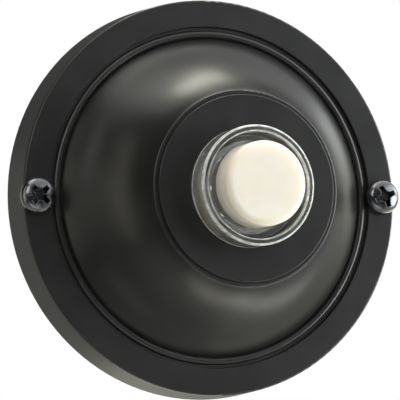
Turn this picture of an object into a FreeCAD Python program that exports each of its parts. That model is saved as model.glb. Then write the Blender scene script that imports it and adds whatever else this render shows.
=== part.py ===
"""A round doorbell push button: a cast escutcheon, a lighted push button insert and two wall screws.

Every piece is drawn face on, with X to the right, Y up and Z out of the wall, and then stood up. In the
finished model the front faces -Y and +Z is up. The origin is the centre of the face that meets the wall.
"""
import FreeCAD, Part
import math
import os

import Sketcher

# Driving sizes in millimetres and degrees: alias, value, what it is
SIZES = (
    ("wall_radius", 31.75, "escutcheon where it meets the wall"),
    ("skirt_draft", 0.45, "how far the skirt leans in from the wall to the rim"),
    ("rim_height", 6.9, "wall to the flat front rim"),
    ("rim_edge", 0.3, "rounding of the rim's outer edge"),
    ("rim_width", 4.3, "width of the flat rim"),
    ("rim_break", 0.15, "rounding of the rim's inner edge"),
    ("groove_width", 0.5, "width of the groove inside the rim"),
    ("groove_depth", 0.55, "depth of that groove"),
    ("bead_width", 1.3, "width of the bead at the foot of the dome"),
    ("bead_rise", 0.5, "height of the bead over the groove"),
    ("foot_lean", 1.0, "slope at the dome's foot, over the straight line from foot to neck"),
    ("waist_lean", 18.5, "slope where the dome turns hollow, under that straight line"),
    ("neck_lean", 24.5, "slope at the dome's neck, over that straight line"),
    ("lip_round", 0.3, "rounding of the neck's lip"),
    ("ledge_width", 0.8, "ledge between the neck's lip and the hub disc"),
    ("ledge_drop", 0.45, "hub disc to ledge"),
    ("disc_edge", 0.15, "rounding of the hub disc's edge"),
    ("disc_width", 5.2, "hub disc from the collar out to its edge"),
    ("hub_height", 20.8, "wall to the front of the hub disc"),
    ("hub_thickness", 2.2, "thickness of the hub disc"),
    ("cast_wall", 2.0, "wall of the dome"),
    ("skirt_wall", 1.85, "wall of the outer skirt"),
    ("screw_inset", 2.2, "rim's outer edge in to the middle of each wall screw"),
    ("screw_clearance", 0.23, "wall screw thread to its hole, on the radius"),
    ("boss_wall", 1.45, "wall of each screw boss"),
    ("boss_root", 0.4, "how far a boss runs into the rim"),
    ("thread_radius", 1.42, "wall screw over its thread"),
    ("shank_radius", 1.15, "wall screw's plain shank"),
    ("screw_length", 12.7, "wall screw under its head"),
    ("point_length", 3.0, "wall screw's point"),
    ("point_radius", 0.2, "flat at the tip of the point"),
    ("head_radius", 2.8, "wall screw's head"),
    ("head_side", 0.5, "upright side of the head"),
    ("head_shoulder", 0.55, "how far the head's shoulder is set in"),
    ("head_height", 1.95, "height of the head"),
    ("head_crown", 0.45, "rise of the head's crown"),
    ("shoulder_round", 1.2, "rounding of the head's shoulder"),
    ("recess_reach", 1.9, "middle of the cross recess to the end of a wing"),
    ("recess_wing", 0.8, "width of a wing"),
    ("recess_depth", 1.25, "depth of the wings"),
    ("recess_taper", 0.6, "how far a wing's end leans in over its depth"),
    ("recess_core", 0.9, "radius of the recess's pointed middle"),
    ("core_depth", 1.6, "depth of that middle"),
    ("left_turn", 45.0, "how far the left wall screw is turned"),
    ("right_turn", 22.0, "how far the right wall screw is turned"),
    ("bore_clearance", 0.15, "insert to the hub's bore, on the radius"),
    ("collar_flange", 1.4, "how far the clear collar stands out past its sleeve"),
    ("collar_proud", 4.5, "hub disc to the front of the collar"),
    ("collar_edge", 0.5, "rounding of the collar's outer edge"),
    ("collar_lip", 1.0, "width of the collar's raised lip"),
    ("lip_depth", 1.0, "depth of the dish inside the lip"),
    ("lip_slant", 0.15, "slant of the lip's inner face"),
    ("shoulder_depth", 1.2, "hub disc down to the shoulder that keeps the button in"),
    ("shoulder_width", 0.55, "width of that shoulder"),
    ("sleeve_length", 7.0, "hub disc down to the end of the collar's sleeve"),
    ("sleeve_wall", 0.6, "wall of the sleeve"),
    ("cap_clearance", 0.2, "push button to the collar's bore, on the radius"),
    ("cap_proud", 3.3, "collar front to button front"),
    ("cap_edge", 1.0, "rounding of the button's edge"),
    ("cap_face", 1.5, "thickness of the button's face"),
    ("cap_wall", 1.45, "wall of the button"),
    ("skirt_step", 0.9, "wall of the button's skirt below the flange"),
    ("neck_wall", 0.4, "wall of the button's neck inside the contact ring"),
    ("flange_thickness", 1.6, "thickness of the button's retaining flange"),
    ("flange_clearance", 0.2, "flange to sleeve, on the radius"),
    ("flange_gap", 0.1, "flange to the shoulder above it"),
    ("skirt_length", 4.3, "length of that skirt"),
    ("post_wall", 0.9, "wall of the tube inside the button that the spring bears on"),
    ("bulb_clearance", 0.25, "lamp to the bore of that tube, on the radius"),
    ("post_length", 3.5, "end of that tube below the flange's top"),
    ("travel", 1.5, "travel of the button"),
    ("stop_gap", 0.05, "flange to switch body at the end of the travel"),
    ("ring_room", 0.2, "contact ring to the inside of the switch body"),
    ("ring_thickness", 0.4, "thickness of the contact ring"),
    ("ring_width", 0.68, "width of the contact ring"),
    ("ring_clearance", 0.02, "contact ring to the button's neck, on the radius"),
    ("contact_gap", 0.1, "contact ring to the pads at the end of the travel"),
    ("spigot_clearance", 0.05, "switch body's spigot to the sleeve, on the radius"),
    ("body_length", 5.6, "switch body below the collar's sleeve"),
    ("pillar_inset", 0.7, "inside of the switch body in to the middle of each rivet pillar"),
    ("pillar_radius", 1.0, "rivet pillar"),
    ("pillar_height", 3.1, "height of the rivet pillars"),
    ("rivet_radius", 0.6, "board rivet"),
    ("rivet_clearance", 0.02, "board rivet to its hole, on the radius"),
    ("rivet_grip", 2.5, "how far a rivet reaches into its pillar"),
    ("rivet_head", 1.1, "radius of a rivet's head"),
    ("rivet_head_height", 0.5, "height of a rivet's head"),
    ("board_thickness", 1.5, "terminal board"),
    ("terminal_radius", 1.1, "terminal screw's shank"),
    ("terminal_clearance", 0.1, "terminal screw to its holes, on the radius"),
    ("terminal_length", 4.6, "terminal screw under its head"),
    ("terminal_head", 2.2, "radius of the terminal screw's head"),
    ("terminal_head_height", 1.4, "height of the terminal screw's head"),
    ("terminal_edge", 0.35, "rounding of the terminal screw's head"),
    ("slot_width", 0.55, "terminal screw's slot"),
    ("slot_depth", 0.6, "depth of that slot"),
    ("washer_radius", 2.6, "terminal washer"),
    ("washer_thickness", 0.5, "thickness of the terminal washer"),
    ("strip_thickness", 0.4, "contact strip"),
    ("strip_width", 3.2, "width of the contact strip"),
    ("strip_bend", 0.25, "inner radius of the strip's bends"),
    ("strip_clearance", 0.22, "return spring to the inner end of a contact's foot"),
    ("foot_inner", 1.5, "inner end of a contact's foot to the middle of its terminal screw"),
    ("foot_outer", 1.9, "middle of the terminal screw to the back of the contact's riser"),
    ("strip_room", 0.3, "back of a riser to the inside of the switch body"),
    ("pad_length", 1.1, "back of a riser to the tip of the contact's pad"),
    ("bulb_radius", 1.45, "lamp's glass"),
    ("bulb_height", 5.6, "height of the lamp"),
    ("bulb_base", 1.2, "radius of the lamp's base"),
    ("bulb_base_height", 0.6, "height of the lamp's base"),
    ("lead_radius", 0.2, "lamp lead"),
    ("lead_reach", 0.6, "centre to where a lead leaves the lamp"),
    ("lead_bend", 0.4, "bend of a lead, at its middle line"),
    ("lead_clearance", 0.1, "lead to its hole, and its end to the terminal screw"),
    ("spring_inset", 0.5, "bore of the button's tube to the middle line of the spring's wire"),
    ("wire_radius", 0.18, "return spring's wire"),
    ("spring_turns", 6.0, "turns of the return spring"),
    ("spring_gap", 0.03, "each end of the spring to its seat"),
    ("clip_room", 1.9, "retaining clip to the dome's neck, inside"),
    ("clip_flat", 2.0, "width of the clip's flat rim"),
    ("clip_thickness", 0.5, "thickness of the clip"),
    ("clip_dish", 0.8, "how far the clip's tongues are bent back"),
    ("clip_clearance", 0.04, "tongues to the barrel, on the radius"),
    ("clip_slot", 0.9, "width of the slots between the tongues"),
    ("clip_slots", 8.0, "number of those slots"),
    ("clip_root", 0.3, "end of a slot to the clip's flat rim"),
)

LEFT = 1
RIGHT = -1
STOOD_UP = FreeCAD.Rotation(FreeCAD.Vector(1, 0, 0), 90)
HALF_TURN = 180.0


class Size:
    """A size that keeps its number beside the sheet expression that gives it."""

    def __init__(self, number, text):
        self.number = number
        self.text = text

    @staticmethod
    def of(value):
        """A plain number as a size."""
        if isinstance(value, Size):
            return value
        return Size(float(value), repr(float(value)))

    def joined(self, sign, other, number):
        """The size that this one and another give with a sign between them."""
        return Size(number, f"({self.text} {sign} {other.text})")

    def __add__(self, other):
        other = Size.of(other)
        return self.joined("+", other, self.number + other.number)

    def __sub__(self, other):
        other = Size.of(other)
        return self.joined("-", other, self.number - other.number)

    def __mul__(self, other):
        other = Size.of(other)
        return self.joined("*", other, self.number * other.number)

    def __truediv__(self, other):
        other = Size.of(other)
        return self.joined("/", other, self.number / other.number)

    def __neg__(self):
        return Size.of(0) - self


NONE = Size.of(0)


def sine(angle):
    """The sine of an angle in degrees."""
    return Size(math.sin(math.radians(angle.number)), f"sin({angle.text} * 1 deg)")


def cosine(angle):
    """The cosine of an angle in degrees."""
    return Size(math.cos(math.radians(angle.number)), f"cos({angle.text} * 1 deg)")


def slope_of(rise, run):
    """The angle in degrees of a straight line with this rise over this run."""
    angle = math.degrees(math.atan(rise.number / run.number))
    return Size(angle, f"(atan({rise.text} / {run.text}) / (1 deg))")


def square_root(value):
    """The square root of a size."""
    return Size(math.sqrt(value.number), f"sqrt({value.text})")


class Sheets:
    """The driving sizes and, in a second sheet, the sizes worked out from them."""

    def __init__(self, document):
        self.driving = document.addObject("Spreadsheet::Sheet", "Sizes")
        self.worked = document.addObject("Spreadsheet::Sheet", "Worked")
        self.numbers = {}
        self.rows = 0
        for row, (alias, value, meaning) in enumerate(SIZES, start=1):
            self.driving.set(f"A{row}", meaning)
            self.driving.set(f"B{row}", str(value))
            self.driving.setAlias(f"B{row}", alias)
            self.numbers[alias] = Size(float(value), f"Sizes.{alias}")

    def __getattr__(self, alias):
        return self.numbers[alias]

    def keep(self, alias, value):
        """Names a size that is worked out from others, so that later ones can build on it."""
        self.rows += 1
        self.worked.set(f"A{self.rows}", alias)
        self.worked.set(f"B{self.rows}", f"={value.text}")
        self.worked.setAlias(f"B{self.rows}", alias)
        self.numbers[alias] = Size(value.number, f"Worked.{alias}")


def work_out_radii(size):
    """The insert's radii, from the lamp outwards to the collar: each piece holds the one inside it."""
    size.keep("post_bore", size.bulb_radius + size.bulb_clearance)
    size.keep("post_radius", size.post_bore + size.post_wall)
    size.keep("spring_radius", size.post_bore + size.spring_inset)
    size.keep("strip_inner", size.spring_radius + size.wire_radius + size.strip_clearance)
    size.keep("terminal_reach", size.strip_inner + size.foot_inner)
    size.keep("strip_outer", size.terminal_reach + size.foot_outer)
    size.keep("pad_inner", size.strip_outer - size.pad_length)
    size.keep("cavity_radius", size.strip_outer + size.strip_room)
    size.keep("pillar_reach", size.cavity_radius - size.pillar_inset)
    size.keep("ring_radius", size.cavity_radius - size.ring_room)
    size.keep("ring_bore", size.ring_radius - size.ring_width)
    size.keep("neck_outer", size.ring_bore - size.ring_clearance)
    size.keep("cap_bore", size.neck_outer - size.neck_wall)
    size.keep("skirt_radius", size.cap_bore + size.skirt_step)
    size.keep("cap_radius", size.cap_bore + size.cap_wall)
    size.keep("collar_bore", size.cap_radius + size.cap_clearance)
    size.keep("sleeve_bore", size.collar_bore + size.shoulder_width)
    size.keep("flange_radius", size.sleeve_bore - size.flange_clearance)
    size.keep("barrel_radius", size.sleeve_bore + size.sleeve_wall)
    size.keep("collar_radius", size.barrel_radius + size.collar_flange)


def work_out_heights(size):
    """Where the insert's pieces start and end, measured from the wall."""
    size.keep("collar_front", size.hub_height + size.collar_proud)
    size.keep("dish_height", size.collar_front - size.lip_depth)
    size.keep("shoulder_height", size.hub_height - size.shoulder_depth)
    size.keep("sleeve_end", size.hub_height - size.sleeve_length)
    size.keep("cap_front", size.collar_front + size.cap_proud)
    size.keep("flange_top", size.shoulder_height - size.flange_gap)
    size.keep("flange_bottom", size.flange_top - size.flange_thickness)
    size.keep("post_end", size.flange_top - size.post_length)
    size.keep("skirt_end", size.flange_bottom - size.skirt_length)
    size.keep("ring_bottom", size.skirt_end - size.ring_thickness)
    size.keep("spigot_top", size.flange_bottom - size.travel - size.stop_gap)
    size.keep("body_bottom", size.sleeve_end - size.body_length)
    size.keep("board_bottom", size.body_bottom - size.board_thickness)
    size.keep("pad_top", size.ring_bottom - size.travel - size.contact_gap)
    size.keep("lead_line", size.board_bottom - size.lead_bend)
    size.keep("washer_top", size.lead_line - size.lead_radius)
    size.keep("washer_bottom", size.washer_top - size.washer_thickness)
    size.keep("terminal_hole", size.terminal_radius + size.terminal_clearance)
    size.keep("rivet_hole", size.rivet_radius + size.rivet_clearance)


def work_out_dome(size):
    """The dome's section: a full shoulder above the foot, then a hollow sweep up to the neck."""
    size.keep("rim_radius", size.wall_radius - size.skirt_draft)
    size.keep("rim_inner", size.rim_radius - size.rim_width)
    size.keep("groove_inner", size.rim_inner - size.groove_width)
    size.keep("foot_radius", size.groove_inner - size.bead_width)
    size.keep("disc_radius", size.collar_radius + size.disc_width)
    size.keep("neck_radius", size.disc_radius + size.ledge_width)
    size.keep("foot_height", size.rim_height - size.groove_depth)
    size.keep("ledge_height", size.hub_height - size.ledge_drop)
    size.keep("neck_height", size.ledge_height - size.lip_round)
    size.keep("dome_run", size.foot_radius - size.neck_radius)
    size.keep("dome_rise", size.neck_height - size.foot_height)
    size.keep("dome_slope", slope_of(size.dome_rise, size.dome_run))
    size.keep("foot_slope", size.dome_slope + size.foot_lean)
    size.keep("waist_slope", size.dome_slope - size.waist_lean)
    size.keep("neck_slope", size.dome_slope + size.neck_lean)
    size.keep("shoulder_run", sine(size.foot_slope) - sine(size.waist_slope))
    size.keep("shoulder_rise", cosine(size.waist_slope) - cosine(size.foot_slope))
    size.keep("sweep_run", sine(size.neck_slope) - sine(size.waist_slope))
    size.keep("sweep_rise", cosine(size.waist_slope) - cosine(size.neck_slope))
    size.keep("dome_scale", size.shoulder_run * size.sweep_rise - size.sweep_run * size.shoulder_rise)
    shoulder_share = size.dome_run * size.sweep_rise - size.dome_rise * size.sweep_run
    sweep_share = size.dome_rise * size.shoulder_run - size.dome_run * size.shoulder_rise
    size.keep("shoulder_arc", shoulder_share / size.dome_scale)
    size.keep("sweep_arc", sweep_share / size.dome_scale)
    size.keep("waist_radius", size.foot_radius - size.shoulder_arc * size.shoulder_run)
    size.keep("waist_height", size.foot_height + size.shoulder_arc * size.shoulder_rise)


def work_out_shell(size):
    """The inner side of the dome, an even wall away, up to the underside of the hub."""
    size.keep("inner_foot_radius", size.foot_radius - size.cast_wall * sine(size.foot_slope))
    size.keep("inner_foot_height", size.foot_height - size.cast_wall * cosine(size.foot_slope))
    size.keep("inner_waist_radius", size.waist_radius - size.cast_wall * sine(size.waist_slope))
    size.keep("inner_waist_height", size.waist_height - size.cast_wall * cosine(size.waist_slope))
    size.keep("inner_sweep_arc", size.sweep_arc + size.cast_wall)
    size.keep("underside", size.hub_height - size.hub_thickness)
    size.keep("sweep_middle", size.waist_radius + size.sweep_arc * sine(size.waist_slope))
    size.keep("sweep_fall", size.waist_height + size.sweep_arc * cosine(size.waist_slope) - size.underside)
    inner_square = size.inner_sweep_arc * size.inner_sweep_arc - size.sweep_fall * size.sweep_fall
    size.keep("inner_neck_radius", size.sweep_middle - square_root(inner_square))
    size.keep("clip_radius", size.inner_neck_radius - size.clip_room)
    size.keep("screw_reach", size.rim_radius - size.screw_inset)
    size.keep("boss_radius", size.thread_radius + size.screw_clearance + size.boss_wall)


class Maker:
    """Adds the pieces to the document, each a body of its own."""

    def __init__(self):
        self.document = FreeCAD.newDocument("doorbell_push_button")
        self.size = Sheets(self.document)
        self.pieces = []

    def body(self, label):
        """A new piece, named for its file."""
        body = self.document.addObject("PartDesign::Body", label)
        body.Label = label
        self.pieces.append(body)
        return body

    def sketch(self, body, name, role="XZ_Plane", offset=NONE):
        """A sketch on one of the body's own origin planes, moved along the plane's normal by the offset."""
        sketch = body.newObject("Sketcher::SketchObject", name)
        sketch.AttachmentSupport = [(origin_feature(body, role), "")]
        sketch.MapMode = "FlatFace"
        sketch.setExpression("AttachmentOffset.Base.z", offset.text)
        return sketch

    def turned(self, body, corners):
        """A solid of revolution round the body's Z axis."""
        sketch = self.sketch(body, "Section")
        draw_outline(sketch, corners)
        feature = body.newObject("PartDesign::Revolution", "Turned")
        feature.Profile = sketch
        feature.ReferenceAxis = (sketch, ["V_Axis"])
        feature.Angle = 2 * HALF_TURN
        return feature

    def pad(self, body, sketch, length, both_ways=False):
        """A pad along the sketch's normal, or half of it to each side."""
        feature = body.newObject("PartDesign::Pad", "Pad")
        feature.Profile = sketch
        feature.SideType = "Symmetric" if both_ways else "One side"
        feature.setExpression("Length", length.text)
        return feature

    def pocket(self, body, sketch, depth, both_ways=False, outwards=False):
        """A pocket against the sketch's normal, or outwards along it, or half of it to each side."""
        feature = body.newObject("PartDesign::Pocket", "Pocket")
        feature.Profile = sketch
        feature.SideType = "Symmetric" if both_ways else "One side"
        feature.Reversed = outwards
        feature.setExpression("Length", depth.text)
        return feature

    def seat(self, body, across=NONE, up=NONE, turn=0.0):
        """Stands a face-on piece up on the wall, turned about its own axis."""
        own_turn = FreeCAD.Rotation(FreeCAD.Vector(0, 0, 1), turn)
        place = FreeCAD.Vector(across.number, 0, up.number)
        body.Placement = FreeCAD.Placement(place, STOOD_UP.multiply(own_turn))
        body.setExpression("Placement.Base.x", across.text)
        body.setExpression("Placement.Base.z", up.text)


def origin_feature(body, role):
    """One of the planes or axes of the body's own origin."""
    return next(item for item in body.Origin.OriginFeatures if item.Role == role)


def hold(sketch, kind, edge, end, size):
    """Holds one coordinate of a point by its distance from the sketch's origin."""
    if size is NONE:
        axis = -2 if kind == "DistanceX" else -1
        sketch.addConstraint(Sketcher.Constraint("PointOnObject", edge, end, axis))
        return
    index = sketch.addConstraint(Sketcher.Constraint(kind, -1, 1, edge, end, size.number))
    sketch.setExpression(f"Constraints[{index}]", size.text)


def hold_radius(sketch, edge, radius):
    """Holds the radius of an arc or a circle."""
    index = sketch.addConstraint(Sketcher.Constraint("Radius", edge, radius.number))
    sketch.setExpression(f"Constraints[{index}]", radius.text)


def short_arc(start, end, radius, turn):
    """The short arc from one point to the other that turns left or right."""
    chord = end - start
    reach = math.sqrt(max(radius ** 2 - chord.Length ** 2 / 4, 0.0))
    centre = (start + end) * 0.5 + FreeCAD.Vector(-chord.y, chord.x, 0).normalize() * reach * turn
    angles = [math.atan2(point.y - centre.y, point.x - centre.x) for point in (start, end)][::turn]
    return Part.ArcOfCircle(Part.Circle(centre, FreeCAD.Vector(0, 0, 1), radius), angles[0], angles[1])


def draw_outline(sketch, corners, closed=True):
    """Draws an outline. A corner is (across, up) after a straight edge.

    After an arc it is (across, up, radius, turn).
    """
    places = [FreeCAD.Vector(corner[0].number, corner[1].number, 0) for corner in corners]
    count = len(corners) if closed else len(corners) - 1
    edges = []
    for index in range(count):
        following = (index + 1) % len(corners)
        if corners[following][2:]:
            radius, turn = corners[following][2:]
            edge = sketch.addGeometry(short_arc(places[index], places[following], radius.number, turn), False)
            hold_radius(sketch, edge, radius)
            edges.append((edge, 1, 2) if turn == LEFT else (edge, 2, 1))
        else:
            edge = sketch.addGeometry(Part.LineSegment(places[index], places[following]), False)
            edges.append((edge, 1, 2))
    for index in range(count if closed else count - 1):
        edge, following = edges[index], edges[(index + 1) % count]
        sketch.addConstraint(Sketcher.Constraint("Coincident", edge[0], edge[2], following[0], following[1]))
    ends = [(edge[0], edge[1]) for edge in edges] + [(edges[-1][0], edges[-1][2])]
    for corner, (edge, end) in zip(corners, ends):
        hold(sketch, "DistanceX", edge, end, corner[0])
        hold(sketch, "DistanceY", edge, end, corner[1])


def draw_circle(sketch, across, up, radius):
    """Draws a circle at a place in the sketch."""
    centre = FreeCAD.Vector(across.number, up.number, 0)
    edge = sketch.addGeometry(Part.Circle(centre, FreeCAD.Vector(0, 0, 1), radius.number), False)
    hold(sketch, "DistanceX", edge, 3, across)
    hold(sketch, "DistanceY", edge, 3, up)
    hold_radius(sketch, edge, radius)


def repeat_round(body, feature, count):
    """Repeats a feature evenly round the body's Z axis."""
    pattern = body.newObject("PartDesign::PolarPattern", "Repeat")
    pattern.Originals = [feature]
    pattern.Axis = (origin_feature(body, "Z_Axis"), [""])
    pattern.Angle = 2 * HALF_TURN
    pattern.setExpression("Occurrences", count.text)
    body.Tip = pattern


def escutcheon(maker):
    """The cast cover: skirt, rim, groove, bead, dome and hub disc, hollow behind, with two screw bosses."""
    size = maker.size
    body = maker.body("escutcheon")
    half_bead = size.bead_width / 2
    bead_arc = (half_bead * half_bead + size.bead_rise * size.bead_rise) / (size.bead_rise * 2)
    bore = size.barrel_radius + size.bore_clearance
    maker.turned(body, (
        (size.wall_radius - size.skirt_wall, NONE),
        (size.wall_radius, NONE),
        (size.rim_radius, size.rim_height - size.rim_edge),
        (size.rim_radius - size.rim_edge, size.rim_height, size.rim_edge, LEFT),
        (size.rim_inner + size.rim_break, size.rim_height),
        (size.rim_inner, size.rim_height - size.rim_break, size.rim_break, LEFT),
        (size.rim_inner, size.foot_height),
        (size.groove_inner, size.foot_height),
        (size.foot_radius, size.foot_height, bead_arc, LEFT),
        (size.waist_radius, size.waist_height, size.shoulder_arc, LEFT),
        (size.neck_radius, size.neck_height, size.sweep_arc, RIGHT),
        (size.neck_radius - size.lip_round, size.ledge_height, size.lip_round, LEFT),
        (size.disc_radius, size.ledge_height),
        (size.disc_radius, size.hub_height - size.disc_edge),
        (size.disc_radius - size.disc_edge, size.hub_height, size.disc_edge, LEFT),
        (bore, size.hub_height),
        (bore, size.underside),
        (size.inner_neck_radius, size.underside),
        (size.inner_waist_radius, size.inner_waist_height, size.inner_sweep_arc, LEFT),
        (size.inner_foot_radius, size.inner_foot_height, size.shoulder_arc - size.cast_wall, RIGHT),
        (size.rim_radius - size.skirt_wall, size.inner_foot_height),
    ))
    sketch = maker.sketch(body, "BossOutline", "XY_Plane")
    into_skirt = size.rim_radius - size.skirt_wall / 2
    draw_outline(sketch, (
        (size.screw_reach, size.boss_radius),
        (size.screw_reach - size.boss_radius, NONE, size.boss_radius, LEFT),
        (size.screw_reach, -size.boss_radius, size.boss_radius, LEFT),
        (into_skirt, -size.boss_radius),
        (into_skirt, size.boss_radius),
    ))
    boss = maker.pad(body, sketch, size.inner_foot_height + size.boss_root)
    sketch = maker.sketch(body, "ScrewHoleOutline", "XY_Plane")
    draw_circle(sketch, size.screw_reach, NONE, size.thread_radius + size.screw_clearance)
    hole = maker.pocket(body, sketch, size.rim_height * 2, outwards=True)
    mirror = body.newObject("PartDesign::Mirrored", "OtherSide")
    mirror.Originals = [boss, hole]
    mirror.MirrorPlane = (origin_feature(body, "YZ_Plane"), [""])
    body.Tip = mirror
    maker.seat(body)


def wall_screw(maker, label, reach, turn):
    """A pan-head wood screw with a cross recess, through the rim and its boss into the wall."""
    size = maker.size
    body = maker.body(label)
    tip = size.rim_height - size.screw_length
    head_top = size.rim_height + size.head_height
    crown_radius = size.head_radius - size.head_shoulder
    crown_arc = (crown_radius * crown_radius + size.head_crown * size.head_crown) / (size.head_crown * 2)
    maker.turned(body, (
        (NONE, tip),
        (size.point_radius, tip),
        (size.thread_radius, tip + size.point_length),
        (size.thread_radius, NONE),
        (size.shank_radius, NONE),
        (size.shank_radius, size.rim_height),
        (size.head_radius, size.rim_height),
        (size.head_radius, size.rim_height + size.head_side),
        (crown_radius, head_top - size.head_crown, size.shoulder_round, LEFT),
        (NONE, head_top, crown_arc, LEFT),
    ))
    for role in ("XZ_Plane", "YZ_Plane"):
        sketch = maker.sketch(body, "WingOutline", role)
        draw_outline(sketch, (
            (-size.recess_reach, head_top),
            (size.recess_taper - size.recess_reach, head_top - size.recess_depth),
            (size.recess_reach - size.recess_taper, head_top - size.recess_depth),
            (size.recess_reach, head_top),
        ))
        maker.pocket(body, sketch, size.recess_wing, both_ways=True)
    sketch = maker.sketch(body, "CoreSection")
    draw_outline(sketch, (
        (NONE, head_top),
        (NONE, head_top - size.core_depth),
        (size.recess_core, head_top),
    ))
    core = body.newObject("PartDesign::Groove", "Core")
    core.Profile = sketch
    core.ReferenceAxis = (sketch, ["V_Axis"])
    core.Angle = 2 * HALF_TURN
    maker.seat(body, across=reach, turn=turn.number)


def lens_collar(maker):
    """The clear collar: a dished front, a flange on the hub disc and a sleeve through the hub."""
    size = maker.size
    body = maker.body("lens_collar")
    lip_inner = size.collar_radius - size.collar_lip
    maker.turned(body, (
        (size.sleeve_bore, size.sleeve_end),
        (size.barrel_radius, size.sleeve_end),
        (size.barrel_radius, size.hub_height),
        (size.collar_radius, size.hub_height),
        (size.collar_radius, size.collar_front - size.collar_edge),
        (size.collar_radius - size.collar_edge, size.collar_front, size.collar_edge, LEFT),
        (lip_inner, size.collar_front),
        (lip_inner - size.lip_slant, size.dish_height),
        (size.collar_bore, size.dish_height),
        (size.collar_bore, size.shoulder_height),
        (size.sleeve_bore, size.shoulder_height),
    ))
    maker.seat(body)


def button_cap(maker):
    """The push button: a hollow cap with a flange, a skirt for the ring and a tube for the spring."""
    size = maker.size
    body = maker.body("button_cap")
    ceiling = size.cap_front - size.cap_face
    maker.turned(body, (
        (NONE, ceiling),
        (size.post_bore, ceiling),
        (size.post_bore, size.post_end),
        (size.post_radius, size.post_end),
        (size.post_radius, ceiling),
        (size.cap_bore, ceiling),
        (size.cap_bore, size.ring_bottom),
        (size.neck_outer, size.ring_bottom),
        (size.neck_outer, size.skirt_end),
        (size.skirt_radius, size.skirt_end),
        (size.skirt_radius, size.flange_bottom),
        (size.flange_radius, size.flange_bottom),
        (size.flange_radius, size.flange_top),
        (size.cap_radius, size.flange_top),
        (size.cap_radius, size.cap_front - size.cap_edge),
        (size.cap_radius - size.cap_edge, size.cap_front, size.cap_edge, LEFT),
        (NONE, size.cap_front),
    ))
    maker.seat(body)


def contact_ring(maker):
    """The ring at the end of the button's skirt that bridges the two fixed contacts."""
    size = maker.size
    body = maker.body("contact_ring")
    maker.turned(body, (
        (size.ring_bore, size.ring_bottom),
        (size.ring_radius, size.ring_bottom),
        (size.ring_radius, size.skirt_end),
        (size.ring_bore, size.skirt_end),
    ))
    maker.seat(body)


def switch_body(maker):
    """The switch's cup behind the sleeve: a spigot that stops the button, and two pillars for the rivets."""
    size = maker.size
    body = maker.body("switch_body")
    spigot = size.sleeve_bore - size.spigot_clearance
    maker.turned(body, (
        (size.cavity_radius, size.body_bottom),
        (size.barrel_radius, size.body_bottom),
        (size.barrel_radius, size.sleeve_end),
        (spigot, size.sleeve_end),
        (spigot, size.spigot_top),
        (size.cavity_radius, size.spigot_top),
    ))
    for reach in (size.pillar_reach, -size.pillar_reach):
        sketch = maker.sketch(body, "PillarOutline", "XY_Plane", size.body_bottom)
        draw_circle(sketch, NONE, reach, size.pillar_radius)
        maker.pad(body, sketch, size.pillar_height)
        sketch = maker.sketch(body, "RivetHoleOutline", "XY_Plane", size.body_bottom)
        draw_circle(sketch, NONE, reach, size.rivet_hole)
        maker.pocket(body, sketch, size.rivet_grip, outwards=True)
    maker.seat(body)


def terminal_board(maker):
    """The insulating disc that closes the switch, with holes for terminals, rivets and lamp leads."""
    size = maker.size
    body = maker.body("terminal_board")
    sketch = maker.sketch(body, "BoardOutline", "XY_Plane", size.board_bottom)
    draw_circle(sketch, NONE, NONE, size.barrel_radius)
    for side in (1, -1):
        draw_circle(sketch, size.terminal_reach * side, NONE, size.terminal_hole)
        draw_circle(sketch, size.lead_reach * side, NONE, size.lead_radius + size.lead_clearance)
        draw_circle(sketch, NONE, size.pillar_reach * side, size.rivet_hole)
    maker.pad(body, sketch, size.board_thickness)
    maker.seat(body)


def board_rivet(maker, label, reach):
    """A rivet from under the terminal board into a pillar of the switch body."""
    size = maker.size
    body = maker.body(label)
    head_bottom = size.board_bottom - size.rivet_head_height
    crown = size.rivet_head_height / 2
    maker.turned(body, (
        (NONE, head_bottom),
        (size.rivet_head - crown, head_bottom),
        (size.rivet_head, head_bottom + crown, crown, LEFT),
        (size.rivet_head, size.board_bottom),
        (size.rivet_radius, size.board_bottom),
        (size.rivet_radius, size.body_bottom + size.rivet_grip),
        (NONE, size.body_bottom + size.rivet_grip),
    ))
    maker.seat(body, up=reach)


def terminal_screw(maker, label, reach):
    """A slotted terminal screw, up through its washer, the board and the foot of its contact."""
    size = maker.size
    body = maker.body(label)
    head_bottom = size.washer_bottom - size.terminal_head_height
    shank_end = size.washer_bottom + size.terminal_length
    maker.turned(body, (
        (NONE, head_bottom),
        (size.terminal_head - size.terminal_edge, head_bottom),
        (size.terminal_head, head_bottom + size.terminal_edge, size.terminal_edge, LEFT),
        (size.terminal_head, size.washer_bottom),
        (size.terminal_radius, size.washer_bottom),
        (size.terminal_radius, shank_end),
        (NONE, shank_end),
    ))
    sketch = maker.sketch(body, "SlotOutline", "XY_Plane", head_bottom)
    draw_outline(sketch, (
        (-size.slot_width / 2, -size.terminal_head),
        (size.slot_width / 2, -size.terminal_head),
        (size.slot_width / 2, size.terminal_head),
        (-size.slot_width / 2, size.terminal_head),
    ))
    maker.pocket(body, sketch, size.slot_depth, outwards=True)
    maker.seat(body, across=reach)


def terminal_washer(maker, label, reach):
    """The washer that a terminal screw clamps a wire with."""
    size = maker.size
    body = maker.body(label)
    maker.turned(body, (
        (size.terminal_hole, size.washer_bottom),
        (size.washer_radius, size.washer_bottom),
        (size.washer_radius, size.washer_top),
        (size.terminal_hole, size.washer_top),
    ))
    maker.seat(body, across=reach)


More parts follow.
